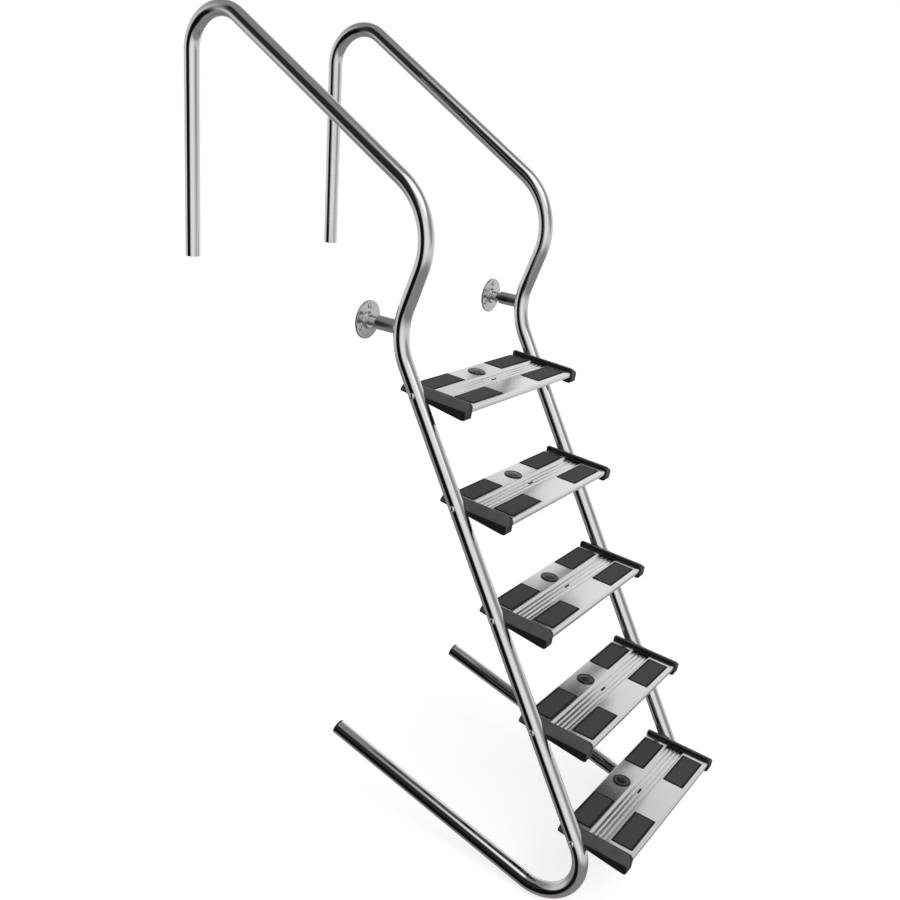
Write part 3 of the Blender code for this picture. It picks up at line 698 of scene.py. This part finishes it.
badge = {
    "radius": 0.0225, "height": 0.003, "place": 0.0057, "wall": 0.0018, "bevel": 0.0015, "flat": 0.005,
    "ring": (0.0140, 0.0172), "ringWall": 0.0006, "ringFade": 0.0022, "ringFrom": 0.0015,
    "rimDepth": 0.0004, "ringDepth": 0.0010, "lipDepth": 0.0003,  # under the top
    "blends": (0.0003, 0.0006, 0.0006, 0.0004, 0.0003, 0.0003, 0.0006, 0.004),
}

# below the tread's surface, and how far the bore runs in from the rail's axis
bolt = {"drop": 0.007, "bore": 0.027}

footCorner = np.array(rail["corners"][3]) + railShift
bottomCorner = np.array(rail["corners"][4]) + railShift
incline = (bottomCorner - footCorner) / np.linalg.norm(bottomCorner - footCorner)
tilt = tread["tilt"]
treadTurn = np.array([[1, 0, 0], [0, cos(tilt), -sin(tilt)], [0, sin(tilt), cos(tilt)]])
inclineLocal = np.array([0, *(treadTurn[1:, 1:].T @ incline)])


def treadSeat(number):
    return footCorner + incline * (tread["first"] + tread["pitch"] * (number - 1))


def plateSection():
    # from the rear lip's edge over the rear band, the ribbed channel and the front band to the front hem;
    # a rib is floor + height * sin^2, and folds are arcs
    y0, y1 = tread["channel"]
    floor = -tread["channelDepth"]
    slope = tread["channelDepth"]
    fold, lead, start = tread["channelFold"], tread["lead"], tread["ribStart"]
    step = radians(12)
    rearPart = roundedLine(
        [(tread["rear"], -tread["lip"]), (tread["rear"], 0), (-y0, 0),
         (-y0 - slope, floor), (-y0 - slope - lead, floor)],
        (tread["rearFold"], fold, fold / 2), step)
    ribRun = (y1 - y0 - 2 * slope) / (2 * tread["ribs"] + 1)
    ribY = np.linspace(-y0 - slope - start, -y1 + slope + start, 8 * (2 * tread["ribs"] + 1))
    phase = np.clip((-ribY - y0 - slope) / ribRun, 0, 2 * tread["ribs"] + 1)
    onRib = (np.floor(phase) % 2 == 1)
    ribZ = floor + tread["ribHeight"] * onRib * np.sin(pi * (phase % 1)) ** 2
    hem = tread["hem"]
    frontPart = roundedLine(
        [(-y1 + slope + lead, floor), (-y1 + slope, floor), (-y1, 0), (-tread["front"], 0),
         (-tread["front"], -tread["lip"]), (-tread["front"] + hem + lead, -tread["lip"])],
        (fold / 2, fold, tread["frontFold"], hem), step)
    return np.vstack([rearPart, np.column_stack([ribY, ribZ]), frontPart])


def openWindow(x, s, quads, window, corner):
    # takes the cells inside a window out of a grid and draws its corners in to arcs of four chords
    x0, x1, s0, s1 = window
    middleX = x.ravel()[quads].mean(axis=1)
    middleS = s.ravel()[quads].mean(axis=1)
    inside = (middleX > x0) & (middleX < x1) & (middleS > s0) & (middleS < s1)
    near = corner * (1 - cos(pi / 4))
    low, high = corner * (1 - sin(3 * pi / 8)), corner * (1 - cos(3 * pi / 8))
    xLine, sLine = x[0], s[:, 0]
    newX, newS = x.copy(), s.copy()
    for edgeX, wayX in ((x0, 1), (x1, -1)):
        c0 = np.abs(xLine - edgeX).argmin()
        c1 = np.abs(xLine - edgeX - wayX * high).argmin()
        for edgeS, wayS in ((s0, 1), (s1, -1)):
            r0 = np.abs(sLine - edgeS).argmin()
            r1 = np.abs(sLine - edgeS - wayS * high).argmin()
            newX[r0, c0], newS[r0, c0] = edgeX + wayX * near, edgeS + wayS * near
            newS[r0, c1] = edgeS + wayS * low
            newX[r1, c0] = edgeX + wayX * low
    return newX, newS, quads[~inside]


def windowLines(low, high, corner):
    # grid lines that a rounded window needs along one axis
    high1 = corner * (1 - cos(3 * pi / 8))
    return [low, low + high1, low + corner, high - corner, high - high1, high]


def bandPlace(section, y):
    # length along the section at which a flat band is at y
    along = lengthAlong(section)
    flat = np.abs(section[:, 1]) < 1e-7
    order = np.argsort(section[flat, 0])
    return np.interp(y, section[flat, 0][order], along[flat][order])


def treadPlate():
    # surface point = (x, section y(s), section z(s)); windows for the pads, one slot in the channel
    section = plateSection()
    along = lengthAlong(section)
    half = tread["half"]
    channelMiddle = (tread["channel"][0] + tread["channel"][1]) / 2
    slotS = np.interp(-channelMiddle, section[::-1, 0], along[::-1])
    slotX, slotY = tread["slot"][0] / 2, tread["slot"][1] / 2
    windows = []
    for sign in (-1, 1):
        xs = sorted((sign * (pad["inner"] - gap), sign * (pad["outer"] + gap)))
        for near, far in (pad["rear"], pad["front"]):
            ss = sorted((float(bandPlace(section, -near + gap)), float(bandPlace(section, -far - gap))))
            windows.append((xs[0], xs[1], ss[0], ss[1], pad["corner"]))
    windows.append((-slotX, slotX, slotS - slotY, slotS + slotY, tread["slotCorner"]))
    xLines = [-half, half, -tread["middleLine"], tread["middleLine"]]
    sLines = list(along)
    for x0, x1, s0, s1, corner in windows:
        xLines += windowLines(x0, x1, corner)
        sLines += windowLines(s0, s1, corner)
    xLine = np.unique(np.round(xLines, 7))
    sLine = np.unique(np.round(sLines, 7))
    x, s = np.meshgrid(xLine, sLine)
    quads = gridQuads(len(sLine), len(xLine))
    for x0, x1, s0, s1, corner in windows:
        x, s, quads = openWindow(x, s, quads, (x0, x1, s0, s1), corner)
    points = np.stack([x, np.interp(s, along, section[:, 0]), np.interp(s, along, section[:, 1])], axis=-1)
    # the sheet's inner side: straight down under the channel, square to the section elsewhere
    _, normal = lineNormals(section)
    inward = -normal if normal[0, 0] > 0 else normal
    low, high = tread["channel"][0] - tread["channelEdge"], tread["channel"][1] + tread["channelEdge"]
    channel = (-section[:, 0] > low) & (-section[:, 0] < high)
    inward = np.where(channel[:, None], (0.0, -1.0), inward)
    shift = np.stack([
        np.zeros_like(x), np.interp(s, along, inward[:, 0]), np.interp(s, along, inward[:, 1])], axis=-1)
    points, quads, shift = used(points.reshape(-1, 3), quads, shift.reshape(-1, 3))
    return thickened(points, quads, shift * tread["thickness"])


def roundedDistance(x, y, halfX, halfY, corner):
    # distance inside a rounded rectangle from its edge
    outX = np.abs(x) - halfX + corner
    outY = np.abs(y) - halfY + corner
    outside = np.hypot(np.maximum(outX, 0), np.maximum(outY, 0)) + np.minimum(np.maximum(outX, outY), 0)
    return corner - outside


def padLines(half, corner):
    # close lines in the rounded rim, even ones between
    rim = [half - d for d in (*pad["rimLines"], corner * pad["rimShare"], corner)]
    middle = np.linspace(-half + corner, half - corner, ceil(2 * (half - corner) / pad["fine"]) + 1)
    return np.unique(np.round(np.concatenate([middle, rim, [-value for value in rim]]), 7))


def gripPad(near, far):
    # height = rise - edge * (1 - sqrt(1 - (1 - d / edge)^2)) near the edge, d the distance in from it;
    # it is sunk by a share of the studs' height, and staggered round studs rise from it as cos^2
    halfX = (pad["outer"] - pad["inner"]) / 2
    halfY = (far - near) / 2
    corner = pad["corner"]
    xLine = padLines(halfX, corner)
    yLine = padLines(halfY, corner)
    x, y = np.meshgrid(xLine, yLine)
    quads = gridQuads(len(yLine), len(xLine))
    distance = roundedDistance(x, y, halfX, halfY, corner)
    # points outside the rounded corner are drawn in to it, towards the corner's centre
    centreX = np.sign(x) * (halfX - corner)
    centreY = np.sign(y) * (halfY - corner)
    reach = np.hypot(x - centreX, y - centreY)
    inCorner = (np.abs(x) > halfX - corner) & (np.abs(y) > halfY - corner) & (distance < 0)
    scale = np.where(inCorner, corner / np.maximum(reach, 1e-9), 1)
    x = np.where(inCorner, centreX + (x - centreX) * scale, x)
    y = np.where(inCorner, centreY + (y - centreY) * scale, y)
    distance = np.maximum(roundedDistance(x, y, halfX, halfY, corner), 0)
    rim = np.clip(1 - distance / pad["edge"], 0, 1)
    z = pad["rise"] - pad["edge"] * (1 - np.sqrt(1 - rim ** 2))
    pitch, rowPitch = pad["studPitch"], pad["studPitch"] * pad["studRow"]
    row = np.round(y / rowPitch)
    offset = (row % 2) * pitch / 2
    spot = np.hypot((x - offset + pitch / 2) % pitch - pitch / 2, y - row * rowPitch)
    inside = np.clip((distance - pad["border"]) / pad["studFade"], 0, 1)
    bump = np.cos(np.clip(spot / pad["stud"], 0, 1) * pi / 2) ** 2 * inside
    z = z - pad["studHeight"] * pad["studSink"] + pad["studHeight"] * bump * (1 + pad["studSink"])
    # painted shade: no painted light in the rim by the edge, all of it further in
    paintedLight = np.clip((distance - pad["paintedShadeRim"]) / (pad["paintedShadeEnd"] - pad["paintedShadeRim"]), 0, 1)
    points = np.stack([x, y, z], axis=-1).reshape(-1, 3)
    under = np.zeros_like(points)
    under[:, 2] = -pad["depth"] - points[:, 2]
    shell = thickened(points, quads, under)
    shade = np.concatenate([paintedLight.ravel(), np.zeros(len(points))])
    return shell, shade


def gripInsert(sign):
    # rear and front pad of one end and the web under the channel that joins them
    middleX = sign * (pad["inner"] + pad["outer"]) / 2
    shells, shades = [], []
    for near, far in (pad["rear"], pad["front"]):
        (points, faces), shade = gripPad(near, far)
        shells.append((points + np.array([middleX, -(near + far) / 2, 0]), faces.tolist()))
        shades.append(shade)
    inset, bottom, top = pad["webInset"], pad["webBottom"], pad["webTop"]
    shells.append(blockBetween(
        sign, (pad["inner"] + inset, pad["outer"] - inset),
        (pad["rear"][0] + inset, pad["front"][1] - inset), (bottom, top), pad["webCorner"]))
    shells.append(blockBetween(
        sign, (pad["stripEnd"], pad["inner"] + 2 * inset), pad["strip"],
        (bottom + gap, top - gap), pad["stripCorner"]))
    # painted shade: the web and the strip get no painted light, so they are near black
    shades += [np.zeros(len(points)) for points, _ in shells[2:]]
    return joinedShells(shells), np.concatenate(shades)


def roundedBlock(low, high, corner):
    # a box whose upright edges are arcs
    corners = [(low[0], low[1]), (high[0], low[1]), (high[0], high[1]), (low[0], high[1])]
    outline = roundedLine(corners, [corner] * 4, radians(15), closed=True)
    points = np.vstack([
        np.column_stack([outline, np.full(len(outline), low[2])]),
        np.column_stack([outline, np.full(len(outline), high[2])])])
    faces = gridQuads(2, len(outline), closeColumns=True).tolist()
    faces += [list(range(len(outline))), list(range(len(outline), 2 * len(outline)))]
    return points, faces


def blockBetween(sign, across, ahead, levels, corner):
    # a rounded block on one side of the tread, from distances across it and forwards from the rails
    xs = sorted((sign * across[0], sign * across[1]))
    return roundedBlock((xs[0], -ahead[1], levels[0]), (xs[1], -ahead[0], levels[1]), corner)


def roundBar(start, end, radius, facets=64):
    start, end = np.array(start, float), np.array(end, float)
    axis = (end - start) / np.linalg.norm(end - start)
    sideways = np.cross(axis, (1.0, 0, 0) if abs(axis[0]) < 0.9 else (0, 1.0, 0))
    sideways = sideways / np.linalg.norm(sideways)
    angle = np.linspace(0, 2 * pi, facets, endpoint=False)[:, None]
    ring = radius * (np.cos(angle) * sideways + np.sin(angle) * np.cross(axis, sideways))
    faces = gridQuads(2, facets, closeColumns=True).tolist()
    faces += [list(range(facets)), list(range(facets, 2 * facets))]
    return np.vstack([start + ring, end + ring]), faces


def capTop(across):
    # level of the cap's top: rise, then past the ridge down a straight slope, blended by
    # (d + sqrt(d^2 + w^2)) / 2 of the distance d past the ridge
    past = across - cap["ridge"]
    past = (past + np.sqrt(past ** 2 + cap["ridgeBlend"] ** 2)) / 2
    return cap["rise"] - past * (cap["rise"] - cap["shoulder"]) / (cap["outer"] - cap["ridge"])


def endCap(sign):
    # the side outline lofted across X; near each end it is drawn in by edge * (1 - sin a) at a distance
    # edge * (1 - cos a) from the end, half that at the inner one; no point is higher than the top's
    # slope at its X; then the tongues are added and the saddle, pocket and bore cut
    front = -cap["front"]
    outline = roundedLine(
        [(cap["rear"], -cap["drop"]), (cap["rear"], cap["rise"]), (front, cap["rise"] - cap["fall"]),
         (front, -cap["nose"]), (front + cap["noseFoot"], -cap["nose"])],
        cap["blends"], radians(10), closed=True)
    _, normal = lineNormals(outline, closed=True)
    if ((outline - outline.mean(axis=0)) * normal).sum() < 0:
        normal = -normal
    edge = cap["edge"]
    sweep = np.linspace(0, pi / 2, 5)
    between = np.linspace(cap["inner"] + edge, cap["outer"] - 1.5 * edge, 16)
    inset = np.concatenate([edge * (1 - np.sin(sweep)), 0 * between, edge * (1 - np.sin(sweep[::-1]))])
    across = np.concatenate([
        cap["inner"] + edge * (1 - np.cos(sweep)) / 2, between,
        cap["outer"] - edge * (1 - np.cos(sweep[::-1]))])
    rings = outline[None] - inset[:, None, None] * normal[None]
    rings[:, :, 1] = np.minimum(rings[:, :, 1], capTop(across)[:, None] - inset[:, None])
    points = np.concatenate([np.repeat(sign * across[:, None, None], len(outline), axis=1), rings], axis=2)
    count = len(outline)
    faces = gridQuads(len(across), count, closeColumns=True).tolist()
    faces += [list(range(count)), list(range((len(across) - 1) * count, len(across) * count))]
    body = addMesh("capBody", points.reshape(-1, 3), faces)
    root = cap["inner"] + cap["wall"]
    channel = (tread["channel"][0] + cap["tongueEdge"], tread["channel"][1] - cap["tongueEdge"])
    under = (cap["inner"] - cap["tongue"], root)
    levels = (-cap["tongueDrop"], -tread["thickness"] - gap)
    rearSpan = (cap["tongueInset"] - tread["rear"], tread["channel"][0] - cap["tongueEdge"])
    frontSpan = (tread["channel"][1] + cap["tongueEdge"], tread["front"] - cap["tongueInset"])
    additions = [
        blockBetween(sign, under, rearSpan, levels, cap["tongueCorner"]),
        blockBetween(sign, under, frontSpan, levels, cap["tongueCorner"]),
        # the channel tongue closes the channel's end; its near-black colour there stands in for the shadow
        # where the channel meets the cap: painted shade
        blockBetween(
            sign, (cap["channelTongue"], root), channel, cap["channelLevels"], cap["channelCorner"])]
    axis = np.array([sign * railX, 0, 0])
    boltAt = inclineLocal * bolt["drop"] / -incline[1]
    through = inclineLocal * cap["through"]
    cuts = [
        roundBar(axis - through, axis + through, rail["radius"] + gap),
        blockBetween(sign, (root, cap["outer"] - cap["wall"]), cap["pocket"],
                     (cap["below"], cap["pocketTop"]), cap["pocketCorner"]),
        roundBar(
            boltAt + axis, boltAt + axis - np.array([sign * bolt["bore"], 0, 0]),
            boltHead["shank"] + gap, 32)]
    carve(body, [addMesh("addition", *shape) for shape in additions],
          [addMesh("cutter", *shape) for shape in cuts])
    place = np.zeros(3 * len(body.data.vertices), np.float32)
    body.data.vertices.foreach_get("co", place)
    # painted light: grey paint on the top face, fading out below it
    below = capTop(np.abs(place[0::3])) - place[2::3]
    setFloats(body, "paintedLight", np.clip((cap["topLightDepth"] - below) / cap["topLightFade"], 0, 1))
    return body


def badgeDisc():
    # turned: a flat rim, a shallow groove and a low dome inside it
    radius, height = badge["radius"], badge["height"]
    ring0, ring1 = badge["ring"]
    wall, rim, groove = badge["ringWall"], height - badge["rimDepth"], height - badge["ringDepth"]
    profile = roundedLine(
        [(core, gap), (radius, gap), (radius, badge["wall"]), (radius - badge["bevel"], rim),
         (ring1 + wall, rim), (ring1, groove), (ring0, groove), (ring0 - wall, height - badge["lipDepth"]),
         (badge["flat"], height), (core, height)],
        badge["blends"], radians(20))
    points, faces = turned(profile, 64)
    reach = np.hypot(points[:, 0], points[:, 1])
    ring = np.clip(1 - np.abs(reach - (ring0 + ring1) / 2) / badge["ringFade"], 0, 1)
    ring = ring * (points[:, 2] > badge["ringFrom"])
    points[:, 1] += badge["place"]
    return points, faces, ring


plateMesh = treadPlate()
gripShapes = {side: gripInsert(sign) for side, sign in sides}
capBodies = {side: endCap(sign) for side, sign in sides}
badgePoints, badgeFaces, badgeRing = badgeDisc()
boltShape = domedHead(boltHead)
print("tread shapes ready")


def atTread(points, number):
    return moved(points, treadTurn, (0, *treadSeat(number)))


def addTread(number):
    label = "tread%d" % number
    node = "tread_%d_" % number
    plate = addMesh(label + "Plate", atTread(plateMesh[0], number), plateMesh[1])
    finishPiece(plate, sheetSteel, "tread_steel", node + "plate")
    disc = addMesh(label + "Badge", atTread(badgePoints, number), badgeFaces)
    setFloats(disc, "ring", badgeRing)
    finishPiece(disc, badgePlastic, "badge_plastic", node + "badge")
    for side, sign in sides:
        (points, faces), shade = gripShapes[side]
        grip = addMesh(label + side.title() + "Grip", atTread(points, number), faces)
        setFloats(grip, "paintedLight", shade)
        finishPiece(grip, gripRubber, "grip_rubber", node + "grip_" + side)
        body = capBodies[side].copy()
        body.data = capBodies[side].data.copy()
        body.name = label + side.title() + "Cap"
        bpy.context.scene.collection.objects.link(body)
        body.data.transform(Matrix.Translation((0, *treadSeat(number))) @ Matrix.Rotation(tilt, 4, "X"))
        finishPiece(body, capPlastic, "cap_plastic", node + "cap_" + side)
        headTurn = np.array([[0, 0, sign], [0, 1, 0], [-sign, 0, 0]])
        boltAt = treadSeat(number) + incline * bolt["drop"] / -incline[1]
        points = moved(boltShape[0], headTurn, (sign * (railX + rail["radius"]), *boltAt))
        head = addMesh(label + side.title() + "Bolt", points, boltShape[1])
        finishPiece(head, fastenerSteel, "fastener_steel", node + "bolt_" + side)


for number in range(1, tread["count"] + 1):
    addTread(number)
for body in capBodies.values():
    bpy.data.objects.remove(body, do_unlink=True)
print("treads done")

# floor, light, camera

stage = {
    "floorHalf": 14.0,
    "floorDrop": 0.004,
    "floorSeen": 0.62, "floorReflected": 0.50,
    # strength of the grey surroundings by height: far below, at the horizon, overhead
    "below": 0.30, "horizon": 0.80, "zenith": 0.30,
    # soft shapes over them: azimuth from +Y towards +X, elevation, outer and inner half angle, strength
    "shapes": ((-150, 52, 36, 22, 1.45), (-133, 8, 34, 14, 1.05),
               (88, 9, 42, 15, 1.05), (165, 18, 28, 12, 0.35)),
    # the dark upright flag: azimuth, outer and inner half angle, strength below and above the horizon
    "flag": (-72, 34, 18, 0.006, 0.03),
}


def addFloor():
    half = stage["floorHalf"]
    corner = np.array([(-half, -half), (half, -half), (half, half), (-half, half)])
    mesh = bpy.data.meshes.new("floor")
    mesh.from_pydata(np.column_stack([corner, np.full(4, -stage["floorDrop"])]).tolist(), [], [[0, 1, 2, 3]])
    floor = addObject("floor", mesh)
    ground = Shading("paleFloor", (0.85, 0.85, 0.85), 0.9, 0.0, specular=0.0)
    ground.shader.inputs["Emission Color"].default_value = (1, 1, 1, 1)
    ground.shader.inputs["Emission Strength"].default_value = stage["floorSeen"]
    dim = ground.node("ShaderNodeBsdfDiffuse")
    dim.inputs["Color"].default_value = (*[stage["floorReflected"]] * 3, 1)
    shown = ground.byCamera(dim.outputs["BSDF"], ground.shader.outputs["BSDF"])
    ground.link(shown, ground.tree.nodes["Material Output"].inputs["Surface"])
    mesh.materials.append(ground.material)
    floor.visible_glossy = False


def addStudio():
    # surroundings by direction: grey by height, the soft shapes over it, then one dark upright flag
    world = bpy.data.worlds.new("studio")
    bpy.context.scene.world = world
    world.use_nodes = True
    sky = Nodes(world.node_tree)
    sky.tree.nodes.clear()
    node, math, link = sky.node, sky.math, sky.link

    def ramp(value, fromLow, fromHigh, toLow=0.0, toHigh=1.0):
        made = node("ShaderNodeMapRange", interpolation_type="SMOOTHSTEP")
        link(value, made.inputs["Value"])
        made.inputs["From Min"].default_value = fromLow
        made.inputs["From Max"].default_value = fromHigh
        made.inputs["To Min"].default_value = toLow
        made.inputs["To Max"].default_value = toHigh
        return made.outputs["Result"]

    def towards(azimuth, elevation, vector):
        azimuth, elevation = radians(azimuth), radians(elevation)
        dot = node("ShaderNodeVectorMath", operation="DOT_PRODUCT")
        link(vector, dot.inputs[0])
        dot.inputs[1].default_value = (
            sin(azimuth) * cos(elevation), cos(azimuth) * cos(elevation), sin(elevation))
        return dot.outputs["Value"]

    def covered(level, factor, strength):
        # level * (1 - factor) + strength * factor
        kept = math("MULTIPLY", level, math("SUBTRACT", 1.0, factor))
        return math("ADD", kept, math("MULTIPLY", factor, strength))

    way = node("ShaderNodeTexCoord").outputs["Generated"]
    parts = node("ShaderNodeSeparateXYZ")
    link(way, parts.inputs["Vector"])
    x, y, z = parts.outputs
    flat = math("SQRT", math("ADD", math("MULTIPLY", x, x), math("MULTIPLY", y, y)))
    level = ramp(z, 0.0, 0.75, stage["horizon"], stage["zenith"])
    level = covered(level, ramp(z, -0.22, -0.50), stage["below"])
    for azimuth, elevation, outer, inner, strength in stage["shapes"]:
        factor = ramp(towards(azimuth, elevation, way), cos(radians(outer)), cos(radians(inner)))
        level = covered(level, factor, strength)
    azimuth, outer, inner, darkLow, darkHigh = stage["flag"]
    beside = math("DIVIDE", towards(azimuth, 0, way), math("MAXIMUM", flat, 0.001))
    flag = math("MULTIPLY", ramp(beside, cos(radians(outer)), cos(radians(inner))), ramp(z, 0.88, 0.74))
    flag = math("MULTIPLY", flag, ramp(z, -0.85, -0.65))
    level = covered(level, flag, ramp(z, -0.05, 0.2, darkLow, darkHigh))
    studio = node("ShaderNodeBackground")
    link(level, studio.inputs["Strength"])
    plain = node("ShaderNodeBackground")
    plain.inputs["Strength"].default_value = 1.0
    for background in (studio, plain):
        background.inputs["Color"].default_value = (1, 1, 1, 1)
    shown = sky.byCamera(studio.outputs["Background"], plain.outputs["Background"])
    link(shown, node("ShaderNodeOutputWorld").inputs["Surface"])


camera = {
    "place": (-2.3039, -1.3517, 1.8156),
    "azimuth": radians(59.15), "pitch": radians(-18.79), "roll": radians(6.745),
    "lens": 44.44,
}


def addCamera():
    lens = bpy.data.cameras.new("camera")
    lens.lens = camera["lens"]
    lens.sensor_width = 36
    lens.clip_end = 100
    thing = addObject("camera", lens)
    thing.matrix_world = (
        Matrix.Translation(camera["place"]) @ Matrix.Rotation(-camera["azimuth"], 4, "Z")
        @ Matrix.Rotation(pi / 2 + camera["pitch"], 4, "X") @ Matrix.Rotation(camera["roll"], 4, "Z"))
    bpy.context.scene.camera = thing


addFloor()
addStudio()
addCamera()
bpy.context.scene.view_settings.view_transform = "Standard"
print("stage done")
